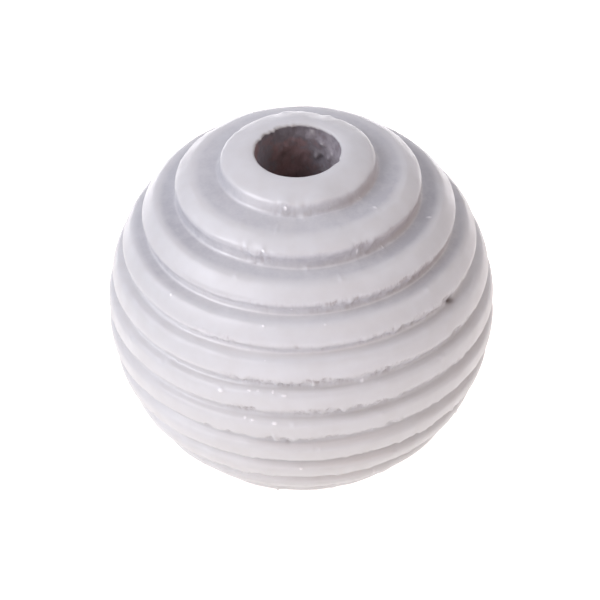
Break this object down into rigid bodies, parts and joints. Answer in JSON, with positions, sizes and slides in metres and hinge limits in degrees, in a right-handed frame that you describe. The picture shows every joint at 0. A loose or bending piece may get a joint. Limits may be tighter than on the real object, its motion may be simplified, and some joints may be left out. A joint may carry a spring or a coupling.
{
  "type": "grooved wooden bead",
  "caption": "Turned ball bead with parallel grooves round it and a plain hole through it for a cord.",
  "frame": {"origin": "centre of the ball, midway along the hole", "axes": "+Z along the hole"},
  "size_m": [0.018, 0.018, 0.0174],
  "materials": {
    "painted_wood": "satin paint"
  },
  "bodies": {
    "root": {"bead": "painted_wood"}
  },
  "joints": []
}
